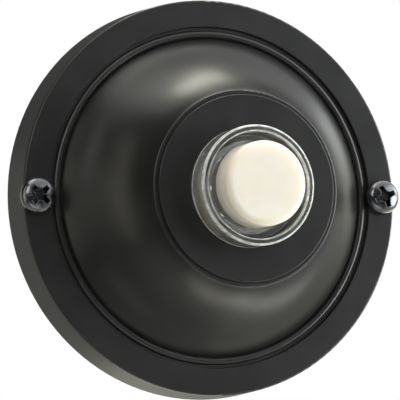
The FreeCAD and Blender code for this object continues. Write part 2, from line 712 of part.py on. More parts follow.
def fixed_contact(maker, label, turn):
    """A bent strip: a foot on the board, a riser and a pad that the ring comes down on."""
    size = maker.size
    body = maker.body(label)
    outer_bend = size.strip_bend + size.strip_thickness
    outer_corner = size.strip_outer - outer_bend
    foot_top = size.body_bottom + size.strip_thickness
    riser_inner = size.strip_outer - size.strip_thickness
    sketch = maker.sketch(body, "StripOutline")
    draw_outline(sketch, (
        (size.strip_inner, size.body_bottom),
        (outer_corner, size.body_bottom),
        (size.strip_outer, size.body_bottom + outer_bend, outer_bend, LEFT),
        (size.strip_outer, size.pad_top - outer_bend),
        (outer_corner, size.pad_top, outer_bend, LEFT),
        (size.pad_inner, size.pad_top),
        (size.pad_inner, size.pad_top - size.strip_thickness),
        (outer_corner, size.pad_top - size.strip_thickness),
        (riser_inner, size.pad_top - outer_bend, size.strip_bend, RIGHT),
        (riser_inner, size.body_bottom + outer_bend),
        (outer_corner, foot_top, size.strip_bend, RIGHT),
        (size.strip_inner, foot_top),
    ))
    maker.pad(body, sketch, size.strip_width, both_ways=True)
    sketch = maker.sketch(body, "TerminalHoleOutline", "XY_Plane", size.body_bottom)
    draw_circle(sketch, size.terminal_reach, NONE, size.terminal_hole)
    maker.pocket(body, sketch, size.strip_thickness * 2, outwards=True)
    maker.seat(body, turn=turn)


def lamp_bulb(maker):
    """The small sealed lamp that lights the button from inside."""
    size = maker.size
    body = maker.body("lamp_bulb")
    base_top = size.body_bottom + size.bulb_base_height
    bulb_top = size.body_bottom + size.bulb_height
    maker.turned(body, (
        (NONE, size.body_bottom),
        (size.bulb_base, size.body_bottom),
        (size.bulb_base, base_top),
        (size.bulb_radius, base_top),
        (size.bulb_radius, bulb_top - size.bulb_radius),
        (NONE, bulb_top, size.bulb_radius, LEFT),
    ))
    maker.seat(body)


def lamp_lead(maker, label, turn):
    """A lead from the lamp down through the board and out under a terminal washer."""
    size = maker.size
    body = maker.body(label)
    lead_end = size.terminal_reach - size.terminal_radius - size.lead_clearance
    path = maker.sketch(body, "Route")
    draw_outline(path, (
        (size.lead_reach, size.body_bottom),
        (size.lead_reach, size.board_bottom),
        (size.lead_reach + size.lead_bend, size.lead_line, size.lead_bend, LEFT),
        (lead_end, size.lead_line),
    ), closed=False)
    section = maker.sketch(body, "WireSection", "XY_Plane", size.body_bottom)
    draw_circle(section, size.lead_reach, NONE, size.lead_radius)
    maker.document.recompute()
    wire = body.newObject("PartDesign::AdditivePipe", "Wire")
    wire.Profile = section
    wire.Spine = (path, ["Edge1", "Edge2", "Edge3"])
    maker.seat(body, turn=turn)


def return_spring(maker):
    """The coil spring between the terminal board and the tube inside the button."""
    size = maker.size
    body = maker.body("return_spring")
    first = size.body_bottom + size.spring_gap + size.wire_radius
    last = size.post_end - size.spring_gap - size.wire_radius
    sketch = maker.sketch(body, "WireSection")
    draw_circle(sketch, size.spring_radius, first, size.wire_radius)
    maker.document.recompute()
    coil = body.newObject("PartDesign::AdditiveHelix", "Coil")
    coil.Profile = sketch
    coil.ReferenceAxis = (sketch, ["V_Axis"])
    coil.Mode = "height-turns-angle"
    coil.setExpression("Height", (last - first).text)
    coil.setExpression("Turns", size.spring_turns.text)
    maker.seat(body)


def retaining_clip(maker):
    """The push-on spring clip behind the hub, whose tongues bite on the barrel."""
    size = maker.size
    body = maker.body("retaining_clip")
    inner = size.barrel_radius + size.clip_clearance
    flat_inner = size.clip_radius - size.clip_flat
    flat_bottom = size.underside - size.clip_thickness
    maker.turned(body, (
        (size.clip_radius, flat_bottom),
        (size.clip_radius, size.underside),
        (flat_inner, size.underside),
        (inner, size.underside - size.clip_dish),
        (inner, flat_bottom - size.clip_dish),
        (flat_inner, flat_bottom),
    ))
    sketch = maker.sketch(body, "SlotOutline", "XY_Plane", size.underside)
    draw_outline(sketch, (
        (size.barrel_radius - size.clip_slot, -size.clip_slot / 2),
        (flat_inner - size.clip_root, -size.clip_slot / 2),
        (flat_inner - size.clip_root, size.clip_slot / 2),
        (size.barrel_radius - size.clip_slot, size.clip_slot / 2),
    ))
    slot = maker.pocket(body, sketch, size.clip_thickness * 2 + size.clip_dish)
    repeat_round(body, slot, size.clip_slots)
    maker.seat(body)


def write_pieces(maker):
    """Checks the finished document and writes each piece to its own file."""
    maker.document.recompute()
    for item in maker.document.Objects:
        if {"Invalid", "Error"} & set(item.State):
            raise RuntimeError(f"{item.Label} in the document failed: {item.State}")
    for body in maker.pieces:
        if body.Shape.isNull() or not body.Shape.isValid() or len(body.Shape.Solids) != 1:
            raise RuntimeError(f"{body.Label} isn't one valid solid")
    os.makedirs("parts", exist_ok=True)
    for body in maker.pieces:
        body.Shape.exportStep(f"parts/{body.Label}.step")
        print(f"{body.Label}: {body.Shape.Volume:.2f} cubic millimetres")


def main():
    """Works out the sizes, makes every piece and writes it."""
    maker = Maker()
    size = maker.size
    work_out_radii(size)
    work_out_heights(size)
    work_out_dome(size)
    work_out_shell(size)
    maker.document.recompute()
    escutcheon(maker)
    wall_screw(maker, "wall_screw_left", -size.screw_reach, size.left_turn)
    wall_screw(maker, "wall_screw_right", size.screw_reach, size.right_turn)
    lens_collar(maker)
    button_cap(maker)
    contact_ring(maker)
    switch_body(maker)
    terminal_board(maker)
    board_rivet(maker, "board_rivet_upper", size.pillar_reach)
    board_rivet(maker, "board_rivet_lower", -size.pillar_reach)
    sides = (("left", -size.terminal_reach, HALF_TURN), ("right", size.terminal_reach, 0.0))
    for side, reach, turn in sides:
        terminal_screw(maker, f"terminal_screw_{side}", reach)
        terminal_washer(maker, f"terminal_washer_{side}", reach)
        fixed_contact(maker, f"fixed_contact_{side}", turn)
        lamp_lead(maker, f"lamp_lead_{side}", turn)
    lamp_bulb(maker)
    return_spring(maker)
    retaining_clip(maker)
    write_pieces(maker)


main()
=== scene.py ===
"""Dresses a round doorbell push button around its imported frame.

Metres throughout. The button faces -Y and +Z is up. The origin is the centre of the face that meets
the wall, and "out" is how far a point stands out of that wall.
"""
import logging
import math
from abc import ABC, abstractmethod
from dataclasses import dataclass, field
from enum import Enum

import bmesh
import bpy
from mathutils import Matrix, Vector


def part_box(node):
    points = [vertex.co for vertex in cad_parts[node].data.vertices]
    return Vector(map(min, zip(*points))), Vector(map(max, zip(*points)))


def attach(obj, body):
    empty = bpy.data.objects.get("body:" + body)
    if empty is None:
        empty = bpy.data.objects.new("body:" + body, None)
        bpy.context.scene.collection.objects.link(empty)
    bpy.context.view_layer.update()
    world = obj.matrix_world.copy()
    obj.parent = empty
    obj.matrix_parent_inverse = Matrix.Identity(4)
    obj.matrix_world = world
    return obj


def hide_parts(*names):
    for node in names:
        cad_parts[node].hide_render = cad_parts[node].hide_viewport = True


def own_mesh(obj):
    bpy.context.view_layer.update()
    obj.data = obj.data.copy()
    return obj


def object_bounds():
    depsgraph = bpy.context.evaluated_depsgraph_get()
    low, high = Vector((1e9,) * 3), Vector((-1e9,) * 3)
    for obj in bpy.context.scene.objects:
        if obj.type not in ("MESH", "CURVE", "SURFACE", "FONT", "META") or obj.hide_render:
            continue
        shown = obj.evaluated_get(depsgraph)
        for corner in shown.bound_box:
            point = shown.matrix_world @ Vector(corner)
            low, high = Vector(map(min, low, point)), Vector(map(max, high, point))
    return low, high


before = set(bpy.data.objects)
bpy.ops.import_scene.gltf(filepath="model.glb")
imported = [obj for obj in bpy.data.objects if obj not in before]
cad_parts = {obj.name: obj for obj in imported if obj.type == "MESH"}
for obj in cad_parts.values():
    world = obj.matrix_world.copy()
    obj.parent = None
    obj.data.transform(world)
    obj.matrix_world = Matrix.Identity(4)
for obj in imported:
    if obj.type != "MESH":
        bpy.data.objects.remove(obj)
CAD_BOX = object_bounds()

MM = 0.001
MOUNTING = "mounting"
SMOOTH_ANGLE = math.radians(32)
WELD = 0.0005 * MM

Colour = tuple[float, float, float]

logging.basicConfig(level=logging.INFO, format="%(message)s")
LOG = logging.getLogger("doorbell")


class Face(Enum):
    """The form of a soft box's lit face."""

    BOX = "RECTANGLE"
    DISC = "ELLIPSE"


class Side(Enum):
    """A side of the object that has a wall screw."""

    LEFT = "left"
    RIGHT = "right"


class Wire:
    """A number in a shader, on which Python's own operators add Math nodes."""

    def __init__(self, graph: "Graph", socket: bpy.types.NodeSocket) -> None:
        """Keeps the graph and the socket that gives the number."""
        self.graph = graph
        self.socket = socket

    def maths(self, operation: str, *values: "Wire | float") -> "Wire":
        """Adds a Math node.

        Args:
            operation: the node's operation.
            values: its inputs, in order.

        Returns:
            The node's result.
        """
        settings = {"operation": operation}
        made = self.graph.node("ShaderNodeMath", settings, dict(enumerate(values)))
        return Wire(self.graph, made.outputs[0])

    def __add__(self, other: "Wire | float") -> "Wire":
        """This number plus another."""
        return self.maths("ADD", self, other)

    def __radd__(self, other: float) -> "Wire":
        """A plain number plus this one."""
        return self.maths("ADD", other, self)

    def __sub__(self, other: "Wire | float") -> "Wire":
        """This number less another."""
        return self.maths("SUBTRACT", self, other)

    def __rsub__(self, other: float) -> "Wire":
        """A plain number less this one."""
        return self.maths("SUBTRACT", other, self)

    def __mul__(self, other: "Wire | float") -> "Wire":
        """This number times another."""
        return self.maths("MULTIPLY", self, other)

    def __rmul__(self, other: float) -> "Wire":
        """A plain number times this one."""
        return self.maths("MULTIPLY", other, self)

    def absolute(self) -> "Wire":
        """This number without its sign."""
        return self.maths("ABSOLUTE", self)

    def between(self, low: float, high: float) -> "Wire":
        """Finds how far this number has come from low to high, smooth at both ends.

        Args:
            low: where the share is still 0.
            high: where it reaches 1.

        Returns:
            The share, from 0 to 1.
        """
        settings = {"interpolation_type": "SMOOTHSTEP"}
        inputs = {"Value": self, "From Min": low, "From Max": high}
        return Wire(self.graph, self.graph.node("ShaderNodeMapRange", settings, inputs).outputs[0])


class Graph:
    """The nodes of one material or world."""

    def __init__(self, tree: bpy.types.NodeTree) -> None:
        """Starts the tree afresh."""
        self.tree = tree
        tree.nodes.clear()

    def node(self, kind: str, settings: dict | None = None, inputs: dict | None = None) -> bpy.types.Node:
        """Adds a node.

        Args:
            kind: the node's type.
            settings: its own settings, set first.
            inputs: values or links for its sockets, by name or number.

        Returns:
            The node.
        """
        made = self.tree.nodes.new(kind)
        for name, value in (settings or {}).items():
            setattr(made, name, value)
        for name, value in (inputs or {}).items():
            if isinstance(value, Wire):
                value = value.socket
            if isinstance(value, bpy.types.NodeSocket):
                self.tree.links.new(value, made.inputs[name])
            else:
                made.inputs[name].default_value = value
        return made

    def place(self) -> bpy.types.NodeSocket:
        """The point on the object, in its own metres."""
        return self.node("ShaderNodeTexCoord").outputs["Object"]

    def stretched(self, along: tuple[float, float, float]) -> bpy.types.NodeSocket:
        """The point on the object, scaled along each axis."""
        inputs = {"Vector": self.place(), "Scale": along}
        return self.node("ShaderNodeMapping", {"vector_type": "POINT"}, inputs).outputs[0]

    def around(self, aside: float = 0.0) -> tuple[Wire, Wire]:
        """Finds where the point is beside an axis that goes into the wall.

        Args:
            aside: how far the axis is from the middle, with one to either side.

        Returns:
            The point's distance from the axis, and how far out of the wall it is.
        """
        apart = self.node("ShaderNodeSeparateXYZ", None, {0: self.place()})
        across, along, up = (Wire(self, apart.outputs[axis]) for axis in "XYZ")
        if aside:
            across = across.absolute() - aside
        squares = across * across + up * up
        return squares.maths("SQRT", squares), 0.0 - along

    def noise(self, size: float, detail: float, place: bpy.types.NodeSocket | None = None) -> Wire:
        """Adds noise over the surface.

        Args:
            size: about how large its grains are, in metres.
            detail: how many finer layers it has.
            place: the point to read it at, if that isn't the point on the object.

        Returns:
            The noise, from 0 to 1.
        """
        inputs = {"Vector": place or self.place(), "Scale": 1.0 / size, "Detail": detail}
        return Wire(self, self.node("ShaderNodeTexNoise", None, inputs).outputs[0])

    def blend(self, first: Colour, second: Colour, factor: Wire) -> bpy.types.NodeSocket:
        """Mixes two colours.

        Args:
            first: the colour where the factor is 0.
            second: the colour where it is 1.
            factor: the share of the second colour.

        Returns:
            The colour between them.
        """
        settings = {"data_type": "RGBA", "clamp_factor": True}
        inputs = {0: factor, 6: (*first, 1.0), 7: (*second, 1.0)}
        return self.node("ShaderNodeMix", settings, inputs).outputs[2]

    def bump(
        self, height: Wire, depth: float, under: bpy.types.NodeSocket | None = None,
    ) -> bpy.types.NodeSocket:
        """Bends the normal by a relief.

        Args:
            height: the relief, from 0 to 1.
            depth: how deep it is, in metres.
            under: the normal of a relief that it lies over, if there is one.

        Returns:
            The normal.
        """
        inputs = {"Height": height, "Distance": depth, "Strength": 1.0}
        if under is not None:
            inputs["Normal"] = under
        return self.node("ShaderNodeBump", None, inputs).outputs[0]


@dataclass(frozen=True)
class Finish(ABC):
    """A surface finish: its name, its plain values and how it varies over a piece."""

    name: str

    @abstractmethod
    def plain(self) -> dict:
        """The shader's values that are the same all over."""

    @abstractmethod
    def varied(self, graph: Graph) -> dict:
        """The shader's links that vary over the surface."""

    def surface(self, graph: Graph) -> bpy.types.NodeSocket:
        """Adds the shader and gives its result."""
        values = {**self.plain(), **self.varied(graph)}
        return graph.node("ShaderNodeBsdfPrincipled", None, values).outputs[0]

    def material(self) -> bpy.types.Material:
        """Makes the material, or finds it if it is already made.

        Returns:
            The material.
        """
        name = f"{self.name}_surface"
        made = bpy.data.materials.get(name)
        if made:
            return made
        made = bpy.data.materials.new(name)
        made.use_nodes = True
        graph = Graph(made.node_tree)
        graph.node("ShaderNodeOutputMaterial", None, {"Surface": self.surface(graph)})
        return made

    def dress(self, piece: bpy.types.Object) -> None:
        """Gives the piece this finish alone."""
        piece.data.materials.clear()
        piece.data.materials.append(self.material())


@dataclass(frozen=True)
class SatinPaint(Finish):
    """Baked satin paint on a casting: a soft sheen, a faint orange peel and a fine grain."""

    dark: Colour = (0.0075, 0.0075, 0.0071)
    light: Colour = (0.0115, 0.0114, 0.0108)
    roughness: float = 0.33
    mottle_size: float = 5.0 * MM
    grain_size: float = 0.22 * MM
    grain_depth: float = 0.003 * MM
    peel_size: float = 1.6 * MM
    peel_depth: float = 0.003 * MM

    def plain(self) -> dict:
        """The paint's gloss."""
        return {"IOR": 1.5}

    def varied(self, graph: Graph) -> dict:
        """Adds mottled colour and roughness over a fine relief.

        Args:
            graph: the material's nodes.

        Returns:
            The shader's colour, roughness and normal.
        """
        mottle = graph.noise(self.mottle_size, 3.0)
        grain = graph.noise(self.grain_size, 3.0)
        peel = graph.noise(self.peel_size, 1.0)
        relief = graph.bump(grain, self.grain_depth)
        waves = graph.bump(peel, self.peel_depth, relief)
        return {
            "Base Color": graph.blend(self.dark, self.light, mottle.between(0.3, 0.7)),
            "Roughness": self.roughness + 0.05 * (mottle - 0.5) + 0.06 * (grain - 0.5),
            "Normal": waves,
        }


@dataclass(frozen=True)
class PlatedScrew(Finish):
    """Glossy black plating on the wall screws, rubbed bright in small scuffs, with a painted highlight: a
    lighter ring round the head's edge.
    """

    colour: Colour = (0.105, 0.108, 0.115)
    # Lighter plating colour, used for the scuffs and for the painted highlight round the head's edge.
    worn_and_lit: Colour = (0.24, 0.24, 0.245)
    roughness: float = 0.2
    spacing: float = 58.2 * MM
    highlight_start: float = 1.9 * MM
    highlight_full: float = 2.7 * MM
    scuff_size: float = 0.5 * MM
    ripple_size: float = 0.9 * MM
    ripple_depth: float = 0.005 * MM

    def plain(self) -> dict:
        """A dark metal."""
        return {"Metallic": 1.0}

    def varied(self, graph: Graph) -> dict:
        """Adds small scuffs, a painted highlight round the head's edge and a slight ripple.

        Args:
            graph: the material's nodes.

        Returns:
            The shader's colour, roughness and normal.
        """
        scuffs = graph.noise(self.scuff_size, 4.0)
        ripple = graph.noise(self.ripple_size, 2.0)
        radius, _ = graph.around(self.spacing / 2)
        # The lighter ring round the head's edge is a painted highlight; the noisy scuffs are rubbed plating.
        edge = radius.between(self.highlight_start, self.highlight_full)
        wear_and_highlight = 0.8 * edge + 0.3 * scuffs.between(0.52, 0.74)
        return {
            "Base Color": graph.blend(self.colour, self.worn_and_lit, wear_and_highlight),
            "Roughness": self.roughness + 0.12 * scuffs.between(0.4, 0.8),
            "Normal": graph.bump(ripple, self.ripple_depth),
        }


@dataclass(frozen=True)
class ClearPlastic(Finish):
    """Clear moulded plastic with faint flow marks and a faint milky haze, and painted highlights: rings of
    white plastic along its turned edges.
    """

    tint: Colour = (0.97, 0.975, 0.97)
    haze: Colour = (0.93, 0.94, 0.93)
    # White plastic colours, for the milky haze and for the rings painted as highlights.
    frost_and_highlight: Colour = (0.82, 0.83, 0.82)
    dim_frost_and_highlight: Colour = (0.60, 0.61, 0.60)
    refraction: float = 1.49
    roughness: float = 0.005
    flow_size: float = 2.4 * MM
    flow_depth: float = 0.012 * MM
    white_streak_size: float = 0.3 * MM
    patch_size: float = 1.4 * MM
    base: float = 20.8 * MM
    front: float = 25.3 * MM
    outer_edge: float = 9.2 * MM
    lip_edge: float = 8.15 * MM
    bore_edge: float = 6.8 * MM
    line: float = 0.28 * MM
    foot: float = 1.0 * MM
    rim_depth: float = 0.7 * MM
    rim_fade: float = 0.35 * MM
    most: float = 0.85
    milky: float = 0.08

    def plain(self) -> dict:
        """Its refraction."""
        return {"Transmission Weight": 1.0, "IOR": self.refraction}

    def varied(self, graph: Graph) -> dict:
        """Adds flow marks in the colour, gloss and surface.

        Args:
            graph: the material's nodes.

        Returns:
            The shader's colour, roughness and normal.
        """
        flow = graph.noise(self.flow_size, 2.0)
        return {
            "Base Color": graph.blend(self.tint, self.haze, flow.between(0.35, 0.75)),
            "Roughness": self.roughness + 0.015 * flow,
            "Normal": graph.bump(flow, self.flow_depth),
        }

    def haze_and_painted_rings(self, graph: Graph) -> Wire:
        """Finds how white the plastic is: a little all over as a milky haze, and more in rings along its
        edges that are painted highlights.

        Args:
            graph: the material's nodes.

        Returns:
            The share of the frosted plastic.
        """
        radius, out = graph.around()

        def near(distance: Wire, edge: float, reach: float) -> Wire:
            """How near the edge the point is."""
            return 1.0 - (distance - edge).absolute().between(reach / 3, reach)

        # The rings of white on the front's edges and round the foot of the side are painted highlights.
        rim_foot = self.front - self.rim_depth
        on_front = out.between(rim_foot, rim_foot + self.rim_fade)
        outer = near(radius, self.outer_edge - self.line / 2, self.line)
        lip = near(radius, self.lip_edge, self.line)
        bore = 0.5 * near(radius, self.bore_edge, self.line)
        lines = (outer + lip + bore) * on_front
        on_side = radius.between(self.outer_edge - self.rim_fade, self.outer_edge)
        foot = near(out, self.base, self.foot) * on_side
        patches = 0.55 + 0.45 * graph.noise(self.patch_size, 3.0).between(0.35, 0.65)
        return self.milky + (self.most - self.milky) * (lines + foot).between(0.0, 1.0) * patches

    def surface(self, graph: Graph) -> bpy.types.NodeSocket:
        """Mixes the clear plastic with white plastic: a faint haze all over, and rings along its edges
        painted as highlights.

        Args:
            graph: the material's nodes.

        Returns:
            The mixed shader.
        """
        white_streaks = graph.noise(self.white_streak_size, 3.0)
        # The white plastic gives the milky haze and, in the rings along the edges, painted highlights.
        white_and_highlight_shader = graph.node("ShaderNodeBsdfPrincipled", None, {
            "Base Color": graph.blend(self.dim_frost_and_highlight, self.frost_and_highlight, white_streaks.between(0.3, 0.6)),
            "Roughness": 0.35 + 0.2 * white_streaks,
            "IOR": self.refraction,
        }).outputs[0]
        return graph.node("ShaderNodeMixShader", None, {
            0: self.haze_and_painted_rings(graph), 1: super().surface(graph), 2: white_and_highlight_shader,
        }).outputs[0]


@dataclass(frozen=True)
class IvoryPlastic(Finish):
    """Ivory moulded plastic that lets a little light in."""

    pale: Colour = (0.81, 0.745, 0.66)
    deep: Colour = (0.78, 0.71, 0.615)
    roughness: float = 0.33
    light_share: float = 0.8
    light_spread: Colour = (1.0, 0.8, 0.5)
    light_depth: float = 3.0 * MM
    cloud_size: float = 3.5 * MM
    grain_size: float = 0.25 * MM
    grain_depth: float = 0.003 * MM

    def plain(self) -> dict:
        """How far light goes in."""
        return {
            "Subsurface Weight": self.light_share,
            "Subsurface Radius": self.light_spread,
            "Subsurface Scale": self.light_depth,
            "IOR": 1.49,
        }

    def varied(self, graph: Graph) -> dict:
        """Adds a faint cloudiness and a soft moulded grain.

        Args:
            graph: the material's nodes.

        Returns:
            The shader's colour, roughness and normal.
        """
        cloud = graph.noise(self.cloud_size, 2.0)
        grain = graph.noise(self.grain_size, 2.0)
        return {
            "Base Color": graph.blend(self.pale, self.deep, cloud.between(0.3, 0.8)),
            "Roughness": self.roughness + 0.06 * (grain - 0.5),
            "Normal": graph.bump(grain, self.grain_depth),
        }


@dataclass(frozen=True)
class BareMetal(Finish):
    """Bare metal with fine drawn lines and a tarnish that comes and goes."""

    bright: Colour
    dull: Colour
    roughness: float = 0.28
    line: float = 0.12 * MM
    line_depth: float = 0.004 * MM
    line_run: tuple[float, float, float] = (1.0, 0.12, 1.0)
    tarnish_size: float = 1.8 * MM

    def plain(self) -> dict:
        """A metal."""
        return {"Metallic": 1.0}

    def varied(self, graph: Graph) -> dict:
        """Adds tarnish in patches and lines along the piece.

        Args:
            graph: the material's nodes.

        Returns:
            The shader's colour, roughness and normal.
        """
        tarnish = graph.noise(self.tarnish_size, 4.0)
        lines = graph.noise(self.line, 2.0, graph.stretched(self.line_run))
        return {
            "Base Color": graph.blend(self.bright, self.dull, tarnish.between(0.42, 0.78)),
            "Roughness": self.roughness + 0.18 * tarnish.between(0.35, 0.8) + 0.08 * (lines - 0.5),
            "Normal": graph.bump(lines, self.line_depth),
        }


@dataclass(frozen=True)
class MattePlastic(Finish):
    """Black moulded plastic with a sparked, matte surface."""

    dark: Colour = (0.018, 0.018, 0.019)
    light: Colour = (0.034, 0.034, 0.034)
    spark_size: float = 0.16 * MM
    spark_depth: float = 0.012 * MM

    def plain(self) -> dict:
        """Its refraction."""
        return {"IOR": 1.46}

    def varied(self, graph: Graph) -> dict:
        """Adds a sparked grain.

        Args:
            graph: the material's nodes.

        Returns:
            The shader's colour, roughness and normal.
        """
        spark = graph.noise(self.spark_size, 3.0)
        return {
            "Base Color": graph.blend(self.dark, self.light, spark.between(0.3, 0.8)),
            "Roughness": 0.5 + 0.15 * spark,
            "Normal": graph.bump(spark, self.spark_depth),
        }


@dataclass(frozen=True)
class Laminate(Finish):
    """Brown paper laminate: fibres under a thin resin skin."""

    pale: Colour = (0.30, 0.165, 0.075)
    deep: Colour = (0.17, 0.080, 0.034)
    fibre_size: float = 0.3 * MM
    fibre_depth: float = 0.004 * MM
    fibre_run: tuple[float, float, float] = (0.25, 1.0, 1.0)

    def plain(self) -> dict:
        """The resin's gloss."""
        return {"IOR": 1.54}

    def varied(self, graph: Graph) -> dict:
        """Adds fibres that run mostly one way.

        Args:
            graph: the material's nodes.

        Returns:
            The shader's colour, roughness and normal.
        """
        fibres = graph.noise(self.fibre_size, 5.0, graph.stretched(self.fibre_run))
        return {
            "Base Color": graph.blend(self.deep, self.pale, fibres.between(0.3, 0.7)),
            "Roughness": 0.42 + 0.12 * fibres,
            "Normal": graph.bump(fibres, self.fibre_depth),
        }


@dataclass(frozen=True)
class LampGlass(Finish):
    """The lamp's thin glass, with the drawn ripple of a small bulb."""

    clear: Colour = (0.98, 0.95, 0.90)
    smoked: Colour = (0.90, 0.86, 0.78)
    ripple_size: float = 0.8 * MM
    ripple_depth: float = 0.01 * MM

    def plain(self) -> dict:
        """Its refraction."""
        return {"Transmission Weight": 1.0, "IOR": 1.5}

    def varied(self, graph: Graph) -> dict:
        """Adds a ripple and a breath of smoke.

        Args:
            graph: the material's nodes.

        Returns:
            The shader's colour, roughness and normal.
        """
        ripple = graph.noise(self.ripple_size, 2.0)
        return {
            "Base Color": graph.blend(self.clear, self.smoked, ripple.between(0.4, 0.8)),
            "Roughness": 0.02 + 0.04 * ripple,
            "Normal": graph.bump(ripple, self.ripple_depth),
        }


@dataclass(frozen=True)
class Finishes:
    """The finishes of this object, one for each material slot of the record."""

    cover: Finish = SatinPaint("black_finish")
    screw: Finish = PlatedScrew("black_screw")
    collar: Finish = ClearPlastic("clear_plastic")
    button: Finish = IvoryPlastic("ivory_plastic")
    brass: Finish = BareMetal("contact_brass", (0.80, 0.62, 0.30), (0.55, 0.38, 0.16))
    housing: Finish = MattePlastic("black_plastic")
    board: Finish = Laminate("board_laminate")
    rivet: Finish = BareMetal("rivet_metal", (0.80, 0.80, 0.82), (0.58, 0.58, 0.60), 0.32)
    lamp: Finish = LampGlass("lamp_glass")
    lead: Finish = BareMetal("tinned_wire", (0.74, 0.74, 0.73), (0.52, 0.52, 0.51), 0.3, 0.06 * MM)
    spring: Finish = BareMetal("spring_steel", (0.56, 0.57, 0.59), (0.36, 0.36, 0.38), 0.26, 0.08 * MM)


FINISHES = Finishes()


class Outline:
    """A section drawn point by point: across from the axis, and out of the wall."""

    def __init__(self, across: float, out: float) -> None:
        """Starts the section at its first corner."""
        self.mesh = bmesh.new()
        self.end = self.mesh.verts.new((across, -out, 0.0))

    def line(self, across: float, out: float) -> "Outline":
        """Goes straight to a corner.

        Args:
            across: the corner's distance from the axis.
            out: its height out of the wall.

        Returns:
            The outline, to go on from.
        """
        made = bmesh.ops.extrude_vert_indiv(self.mesh, verts=[self.end])
        self.end = made["verts"][0]
        self.end.co = (across, -out, 0.0)
        return self

    def arc(self, across: float, out: float, radius: float, steps: int) -> "Outline":
        """Goes to a corner round an arc that bends to the left as it goes.

        Args:
            across: the corner's distance from the axis.
            out: its height out of the wall.
            radius: the arc's radius.
            steps: how many straight pieces stand for it.

        Returns:
            The outline, to go on from.
        """
        start, end = self.end.co.copy(), Vector((across, -out, 0.0))
        chord = end - start
        reach = math.sqrt(max(radius ** 2 - chord.length ** 2 / 4, 0.0))
        aside = Vector((chord.y, -chord.x, 0.0)).normalized()
        centre = (start + end) / 2 + aside * reach
        angle = (start - centre).angle(end - centre)
        spun = bmesh.ops.spin(
            self.mesh, geom=[self.end], cent=centre, axis=(0, 0, -1), dvec=(0, 0, 0), angle=angle,
            steps=steps,
        )
        self.end = spun["geom_last"][0]
        return self

    def turned(self, steps: int) -> bmesh.types.BMesh:
        """Turns the section once round the Y axis.

        Args:
            steps: how many faces go round.

        Returns:
            The closed mesh.
        """
        bmesh.ops.spin(
            self.mesh, geom=self.mesh.verts[:] + self.mesh.edges[:], cent=(0, 0, 0), axis=(0, 1, 0),
            dvec=(0, 0, 0), angle=math.tau, steps=steps, use_merge=True,
        )
        return tidied(self.mesh)


def tidied(mesh: bmesh.types.BMesh) -> bmesh.types.BMesh:
    """Merges doubled points and turns every face outwards.

    Args:
        mesh: the mesh to tidy.

    Returns:
        The same mesh.
    """
    bmesh.ops.remove_doubles(mesh, verts=mesh.verts[:], dist=WELD)
    bmesh.ops.dissolve_degenerate(mesh, edges=mesh.edges[:], dist=WELD)
    bmesh.ops.recalc_face_normals(mesh, faces=mesh.faces[:])
    return mesh


def smooth(data: bpy.types.Mesh) -> None:
    """Shades a mesh smooth, with its sharp edges kept."""
    data.shade_smooth()
    data.set_sharp_from_angle(angle=SMOOTH_ANGLE)


def piece_of(name: str, mesh: bmesh.types.BMesh) -> bpy.types.Object:
    """Makes a smooth-shaded piece of a finished mesh.

    Args:
        name: the piece's name.
        mesh: its shape, which this uses up.

    Returns:
        The piece, linked to the scene.
    """
    data = bpy.data.meshes.new(name)
    mesh.to_mesh(data)
    mesh.free()
    smooth(data)
    piece = bpy.data.objects.new(name, data)
    bpy.context.scene.collection.objects.link(piece)
    return piece


def cut_from(piece: bpy.types.Object, tool: bpy.types.Object) -> None:
    """Cuts one piece's shape out of another and removes the tool.

    Args:
        piece: the piece to cut.
        tool: the shape to cut out of it.
    """
    cut = piece.modifiers.new("recess", "BOOLEAN")
    cut.operation = "DIFFERENCE"
    cut.solver = "EXACT"
    cut.object = tool
    shape = bpy.data.meshes.new_from_object(piece.evaluated_get(bpy.context.evaluated_depsgraph_get()))
    piece.modifiers.clear()
    piece.data = shape
    bpy.data.objects.remove(tool)
    smooth(piece.data)


def settle(piece: bpy.types.Object, finish: Finish, body: str, *nodes: str) -> None:
    """Finishes a new piece, hangs it on its body and puts it in place of the frame's nodes.

    Args:
        piece: the new piece.
        finish: its finish.
        body: the body that it moves with.
        nodes: the frame's nodes that it stands for.
    """
    finish.dress(piece)
    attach(piece, body)
    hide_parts(*nodes)
    LOG.info("%s: %d faces", piece.name, len(piece.data.polygons))


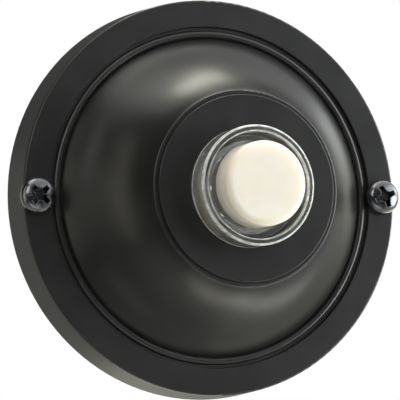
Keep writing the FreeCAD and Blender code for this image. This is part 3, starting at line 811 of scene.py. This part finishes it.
@dataclass
class WallScrew:
    """A pan-head wood screw with a cross recess and a coarse thread."""

    side: Side
    turn: float
    rim_height: float = 6.9 * MM
    head_radius: float = 2.795 * MM
    head_side: float = 0.5 * MM
    head_shoulder: float = 0.55 * MM
    shoulder_round: float = 1.2 * MM
    shoulder_steps: int = 10
    head_height: float = 1.95 * MM
    head_crown: float = 0.45 * MM
    crown_steps: int = 8
    shank_radius: float = 1.15 * MM
    root_radius: float = 0.95 * MM
    tip_out: float = -5.8 * MM
    point_length: float = 3.2 * MM
    point_curve: float = 0.8
    thread_radius: float = 1.41 * MM
    thread_top: float = 1.2 * MM
    thread_start: float = 0.66
    thread_end: float = 0.3 * MM
    ridge_sink: float = 0.12 * MM
    ridge_foot: float = 0.24 * MM
    ridge_crest: float = 0.03 * MM
    pitch: float = 1.27 * MM
    recess_reach: float = 1.95 * MM
    recess_width: float = 0.8 * MM
    recess_taper: float = 0.7 * MM
    recess_depth: float = 1.35 * MM
    recess_round: float = 0.75 * MM
    recess_over: float = 0.2 * MM
    recess_edge: float = 0.09 * MM
    recess_corner: float = math.radians(40)
    round_steps: int = 96
    thread_steps: int = 40

    @property
    def node(self) -> str:
        """The frame's node that this screw stands for."""
        return f"wall_screw_{self.side.value}"

    @property
    def top(self) -> float:
        """How far the head's crown stands out of the wall."""
        return self.rim_height + self.head_height

    def middle(self) -> Vector:
        """Where the screw's axis meets the wall, from the node's own box."""
        low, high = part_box(self.node)
        return Vector(((low.x + high.x) / 2, 0.0, (low.z + high.z) / 2))

    def core(self) -> bmesh.types.BMesh:
        """Makes the head, the plain shank and the thread's root, down to the point.

        Returns:
            The closed mesh, on the screw's own axis.
        """
        crown_radius = self.head_radius - self.head_shoulder
        crown_arc = (crown_radius ** 2 + self.head_crown ** 2) / (2 * self.head_crown)
        return (
            Outline(0.0, self.tip_out)
            .line(self.root_radius, self.tip_out + self.point_length)
            .line(self.root_radius, self.thread_top)
            .line(self.shank_radius, self.thread_top + self.shank_radius - self.root_radius)
            .line(self.shank_radius, self.rim_height)
            .line(self.head_radius, self.rim_height)
            .line(self.head_radius, self.rim_height + self.head_side)
            .arc(crown_radius, self.top - self.head_crown, self.shoulder_round, self.shoulder_steps)
            .arc(0.0, self.top, crown_arc, self.crown_steps)
            .turned(self.round_steps)
        )

    def thread(self) -> bmesh.types.BMesh:
        """Makes the ridge that winds down the root and dies away at the point.

        Returns:
            The closed mesh, on the screw's own axis.
        """
        mesh = bmesh.new()
        inner, outer = self.root_radius - self.ridge_sink, self.thread_radius
        foot, crest = self.ridge_foot, self.ridge_crest
        corners = ((inner, foot), (outer, crest), (outer, -crest), (inner, -foot))
        section = [mesh.verts.new((across, along - self.thread_top, 0.0)) for across, along in corners]
        face = mesh.faces.new(section)
        turns = (self.thread_top - self.tip_out - self.thread_end) / self.pitch
        steps = round(turns * self.thread_steps)
        bmesh.ops.spin(
            mesh, geom=[face, *face.edges, *face.verts], cent=(0, 0, 0), axis=(0, 1, 0),
            dvec=(0.0, self.pitch / self.thread_steps, 0.0), angle=turns * math.tau, steps=steps,
        )
        for vertex in mesh.verts:
            self.draw_in(vertex)
        return tidied(mesh)

    def draw_in(self, vertex: bmesh.types.BMVert) -> None:
        """Draws a point of the thread in where the ridge starts and towards the screw's point.

        Args:
            vertex: the point of the thread.
        """
        out = -vertex.co.y
        from_tip = max(out - self.tip_out, 0.0) / self.point_length
        from_top = max(self.thread_top - out, 0.0) / self.pitch
        started = self.thread_start + (1.0 - self.thread_start) * from_top
        share = min(1.0, from_tip ** self.point_curve, started)
        vertex.co.x *= share
        vertex.co.z *= share

    def recess_tool(self) -> bmesh.types.BMesh:
        """Makes the punch for the cross recess: four tapered wings with rounded corners between them.

        Returns:
            The closed mesh, on the screw's own axis.
        """
        mesh = bmesh.new()
        half = self.recess_width / 2
        arm = [(self.recess_reach, -half), (self.recess_reach, half), (half, half)]
        start = self.top + self.recess_over
        corners = []
        for quarter in range(4):
            turn = Matrix.Rotation(math.tau * quarter / 4, 3, "Y")
            corners += [mesh.verts.new(turn @ Vector((across, -start, -up))) for across, up in arm]
        face = mesh.faces.new(corners)
        inner = corners[2::3]
        pushed = bmesh.ops.extrude_face_region(mesh, geom=[face])
        moved = [item for item in pushed["geom"] if isinstance(item, bmesh.types.BMVert)]
        depth = self.recess_depth + self.recess_over
        share = (self.recess_reach - self.recess_taper) / self.recess_reach
        bmesh.ops.scale(mesh, verts=moved, vec=(share, 1.0, share))
        bmesh.ops.translate(mesh, verts=moved, vec=(0.0, depth, 0.0))
        between = [edge for vertex in inner for edge in vertex.link_edges if edge.other_vert(vertex) in moved]
        bmesh.ops.bevel(
            mesh, geom=between, offset=self.recess_round, offset_type="OFFSET", affect="EDGES", segments=4,
            profile=0.5, material=-1,
        )
        return tidied(mesh)

    def break_edge(self, mesh: bmesh.types.BMesh) -> None:
        """Rounds the recess's rim a little, as the plating does.

        Args:
            mesh: the screw, on its own axis.
        """
        lowest = self.top - self.head_crown
        widest = self.recess_reach + 2 * self.recess_edge

        def by_recess(vertex: bmesh.types.BMVert) -> bool:
            """Whether a point is on the crown, by the recess."""
            return -vertex.co.y > lowest and math.hypot(vertex.co.x, vertex.co.z) < widest

        rim = [
            edge for edge in mesh.edges
            if edge.is_manifold and edge.calc_face_angle() > self.recess_corner
            and all(by_recess(vertex) for vertex in edge.verts)
        ]
        bmesh.ops.bevel(
            mesh, geom=rim, offset=self.recess_edge, offset_type="OFFSET", affect="EDGES", segments=3,
            profile=0.5, material=-1,
        )
        LOG.info("%s: %d edges of the recess rounded", self.node, len(rim))

    def build(self) -> None:
        """Makes the screw in its place."""
        piece = piece_of(f"{self.node}_threaded", self.core())
        cut_from(piece, piece_of("recess_punch", self.recess_tool()))
        whole = bmesh.new()
        whole.from_mesh(piece.data)
        self.break_edge(whole)
        ridge = bpy.data.meshes.new("ridge")
        self.thread().to_mesh(ridge)
        whole.from_mesh(ridge)
        twist = Matrix.Rotation(-self.turn, 3, "Y")
        bmesh.ops.rotate(whole, verts=whole.verts[:], cent=(0, 0, 0), matrix=twist)
        bmesh.ops.translate(whole, verts=whole.verts[:], vec=self.middle())
        whole.to_mesh(piece.data)
        whole.free()
        smooth(piece.data)
        settle(piece, FINISHES.screw, MOUNTING, self.node)


SCREW_TURNS = {Side.LEFT: math.radians(45.0), Side.RIGHT: math.radians(22.0)}


@dataclass
class ReturnSpring:
    """The coil spring behind the button."""

    turns: float = 6.0
    wire_radius: float = 0.18 * MM
    travel: float = 1.5 * MM
    steps_a_turn: int = 32
    wire_steps: int = 12

    def build(self) -> None:
        """Makes the spring between its two seats."""
        low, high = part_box("return_spring")
        radius = (high.x - low.x) / 2 - self.wire_radius
        height = high.y - low.y
        length = height - 2 * self.wire_radius
        mesh = bmesh.new()
        made = bmesh.ops.create_circle(mesh, cap_ends=True, radius=self.wire_radius, segments=self.wire_steps)
        bmesh.ops.translate(mesh, verts=made["verts"], vec=(radius, high.y - self.wire_radius, 0.0))
        steps = round(self.turns * self.steps_a_turn)
        bmesh.ops.spin(
            mesh, geom=mesh.faces[:] + mesh.edges[:] + mesh.verts[:], cent=(0, 0, 0), axis=(0, 1, 0),
            dvec=(0.0, -length / steps, 0.0), angle=self.turns * math.tau, steps=steps,
        )
        piece = piece_of("return_spring_coil", tidied(mesh))
        settle(piece, FINISHES.spring, MOUNTING, "return_spring")
        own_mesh(piece)


@dataclass
class Insert:
    """The push button insert, whose pieces keep the frame's own shapes."""

    finishes: dict[str, Finish] = field(default_factory=lambda: {
        "lens_collar": FINISHES.collar,
        "button_cap": FINISHES.button,
        "contact_ring": FINISHES.brass,
        "switch_body": FINISHES.housing,
        "terminal_board": FINISHES.board,
        "board_rivet_upper": FINISHES.rivet,
        "board_rivet_lower": FINISHES.rivet,
        "terminal_screw_left": FINISHES.brass,
        "terminal_screw_right": FINISHES.brass,
        "terminal_washer_left": FINISHES.brass,
        "terminal_washer_right": FINISHES.brass,
        "fixed_contact_left": FINISHES.brass,
        "fixed_contact_right": FINISHES.brass,
        "lamp_bulb": FINISHES.lamp,
        "lamp_lead_left": FINISHES.lead,
        "lamp_lead_right": FINISHES.lead,
        "retaining_clip": FINISHES.spring,
    })

    def build(self) -> None:
        """Finishes each node."""
        for name, finish in self.finishes.items():
            finish.dress(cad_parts[name])
            LOG.info("%s: %s", name, finish.name)


@dataclass
class Cover:
    """The cast cover, which keeps the frame's own shape."""

    node: str = "escutcheon"

    def build(self) -> None:
        """Finishes the casting."""
        FINISHES.cover.dress(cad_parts[self.node])
        LOG.info("%s: %s", self.node, FINISHES.cover.name)


WHITE: Colour = (1.0, 1.0, 1.0)
WARM: Colour = (1.0, 0.98, 0.84)
COOL: Colour = (0.90, 0.98, 1.0)


@dataclass(frozen=True)
class Lamp:
    """A soft box that faces the object.

    Azimuth is from straight in front, towards +X, and height is above the level, both in degrees.
    """

    name: str
    azimuth: float
    height: float
    face: Face
    width: float
    tall: float
    watts: float
    tint: Colour = WHITE
    distance: float = 0.7

    def build(self) -> None:
        """Hangs the soft box and aims it."""
        across, up = math.radians(self.azimuth), math.radians(self.height)
        way = Vector((math.sin(across) * math.cos(up), -math.cos(across) * math.cos(up), math.sin(up)))
        data = bpy.data.lights.new(self.name, "AREA")
        data.shape = self.face.value
        data.size, data.size_y = self.width, self.tall
        data.energy = self.watts
        data.color = self.tint
        box = bpy.data.objects.new(self.name, data)
        box.visible_camera = False
        aim = way.to_track_quat("Z", "Y").to_matrix().to_4x4()
        box.matrix_world = Matrix.Translation(way * self.distance) @ aim
        bpy.context.scene.collection.objects.link(box)


LAMPS = (
    Lamp("right_sky", 67.5, 68.0, Face.DISC, 1.79, 1.79, 10.2),
    Lamp("right_low", 85.7, -22.0, Face.DISC, 1.79, 1.79, 5.4, WARM),
    Lamp("left_behind_low", -150.0, -37.0, Face.DISC, 1.79, 1.79, 1.4, WARM),
    Lamp("front_box", -34.3, 23.0, Face.BOX, 0.30, 0.30, 1.1),
    Lamp("right_box", 73.6, 8.0, Face.BOX, 0.57, 0.30, 1.5, WARM),
    Lamp("low_back_disc", 167.1, -52.0, Face.DISC, 0.57, 0.57, 1.6, WARM),
    Lamp("left_strip", -90.0, 8.0, Face.BOX, 0.25, 1.02, 0.7, WARM),
    Lamp("left_disc", -69.0, 1.0, Face.DISC, 0.57, 0.57, 0.36, WARM),
    Lamp("front_low_box", -10.0, -37.0, Face.BOX, 0.57, 0.30, 0.7),
    Lamp("top_strip", -120.0, 83.0, Face.BOX, 1.02, 0.25, 1.0, WARM),
    Lamp("right_front_box", 57.3, -7.0, Face.BOX, 0.30, 0.30, 2.7, COOL),
    Lamp("right_behind_low", 130.0, -37.0, Face.DISC, 0.57, 0.57, 1.5),
    Lamp("top_back_box", 157.5, 68.0, Face.BOX, 0.30, 0.30, 2.0, WARM),
    Lamp("right_strip", 68.6, 23.0, Face.BOX, 1.02, 0.25, 2.1, COOL),
)


@dataclass(frozen=True)
class Surroundings:
    """The white room: white where it is looked at, and a plain level of light elsewhere."""

    front: float = 0.095
    behind: float = 0.03
    turns_back: tuple[float, float] = (-0.15, 0.35)
    straight_back: tuple[float, float] = (0.85, 1.05)
    floor_drop: float = 1.2
    floor_half: float = 2.0
    floor_grain: float = 4.0 * MM
    floor_dark: Colour = (0.80, 0.80, 0.80)
    floor_light: Colour = (0.83, 0.83, 0.83)
    floor_white: float = 0.6

    def build_world(self) -> None:
        """Makes the light that comes from all round.

        The white shows to the camera, through clear plastic towards the back, and in surfaces that
        mirror what is straight behind the object.
        """
        world = bpy.data.worlds.new("white_room")
        bpy.context.scene.world = world
        world.use_nodes = True
        graph = Graph(world.node_tree)
        way = graph.node("ShaderNodeTexCoord").outputs["Generated"]
        apart = graph.node("ShaderNodeSeparateXYZ", None, {0: way})
        along = Wire(graph, apart.outputs["Y"])
        back = along.between(*self.turns_back)
        path = graph.node("ShaderNodeLightPath")
        through = Wire(graph, path.outputs["Is Transmission Ray"]) * back
        mirrored = Wire(graph, path.outputs["Is Glossy Ray"]) * along.between(*self.straight_back)
        seen = (Wire(graph, path.outputs["Is Camera Ray"]) + through + mirrored).between(0.0, 1.0)
        level = self.front + (self.behind - self.front) * back
        strength = seen + (1.0 - seen) * level
        light = graph.node("ShaderNodeBackground", None, {"Color": (*WHITE, 1.0), "Strength": strength})
        graph.node("ShaderNodeOutputWorld", None, {"Surface": light.outputs[0]})

    def build_floor(self) -> None:
        """Lays a pale floor under the object, white to the camera and shaded by what stands over it."""
        mesh = bmesh.new()
        bmesh.ops.create_grid(mesh, x_segments=2, y_segments=2, size=self.floor_half)
        level = CAD_BOX[0].z - self.floor_drop
        bmesh.ops.translate(mesh, verts=mesh.verts[:], vec=(0.0, 0.0, level))
        floor = piece_of("floor", mesh)
        material = bpy.data.materials.new("white_floor")
        material.use_nodes = True
        graph = Graph(material.node_tree)
        grain = graph.noise(self.floor_grain, 2.0)
        grey = graph.blend(self.floor_dark, self.floor_light, grain)
        matt = graph.node("ShaderNodeBsdfDiffuse", None, {"Color": grey})
        white = graph.node("ShaderNodeEmission", None, {"Color": (*WHITE, 1.0), "Strength": 1.0})
        path = graph.node("ShaderNodeLightPath")
        seen = Wire(graph, path.outputs["Is Camera Ray"]) * self.floor_white
        mixed = graph.node("ShaderNodeMixShader", None, {0: seen, 1: matt.outputs[0], 2: white.outputs[0]})
        graph.node("ShaderNodeOutputMaterial", None, {"Surface": mixed.outputs[0]})
        floor.data.materials.append(material)

    def build(self) -> None:
        """Makes the world and the floor."""
        self.build_world()
        self.build_floor()


@dataclass(frozen=True)
class PhotoCamera:
    """The photograph's camera: below and to the left of the button's axis, and rolled."""

    distance: float = 0.400
    lean: float = 22.3
    lean_way: float = 13.9
    roll: float = 14.7
    focal_pixels: float = 2500.5
    photo_pixels: float = 400.0
    sensor: float = 36.0
    aside: float = 0.36 * MM
    above: float = 0.125 * MM
    nearest: float = 0.01
    furthest: float = 10.0

    def build(self) -> None:
        """Places the camera and makes it the scene's own."""
        lean, way, roll = (math.radians(angle) for angle in (self.lean, self.lean_way, self.roll))
        axis = Vector((0.0, -1.0, 0.0))
        back = Vector((-math.sin(lean) * math.cos(way), -math.cos(lean), -math.sin(lean) * math.sin(way)))
        tilt = ((axis - back * math.cos(lean)) / math.sin(lean)).normalized()
        level = back.cross(tilt)
        right = tilt * math.cos(roll) - level * math.sin(roll)
        up = tilt * math.sin(roll) + level * math.cos(roll)
        data = bpy.data.cameras.new("photo_camera")
        data.sensor_width = self.sensor
        data.lens = self.sensor * self.focal_pixels / self.photo_pixels
        data.clip_start, data.clip_end = self.nearest, self.furthest
        camera = bpy.data.objects.new("photo_camera", data)
        place = back * self.distance + right * self.aside + up * self.above
        camera.matrix_world = Matrix.Translation(place) @ Matrix((right, up, back)).transposed().to_4x4()
        bpy.context.scene.collection.objects.link(camera)
        bpy.context.scene.camera = camera


def main() -> None:
    """Builds the camera, the light and each sub-assembly in turn."""
    bpy.context.scene.view_settings.view_transform = "Standard"
    PhotoCamera().build()
    Surroundings().build()
    for lamp in LAMPS:
        lamp.build()
    Cover().build()
    Insert().build()
    ReturnSpring().build()
    for side, turn in SCREW_TURNS.items():
        WallScrew(side, turn).build()


if __name__ == "__main__":
    main()
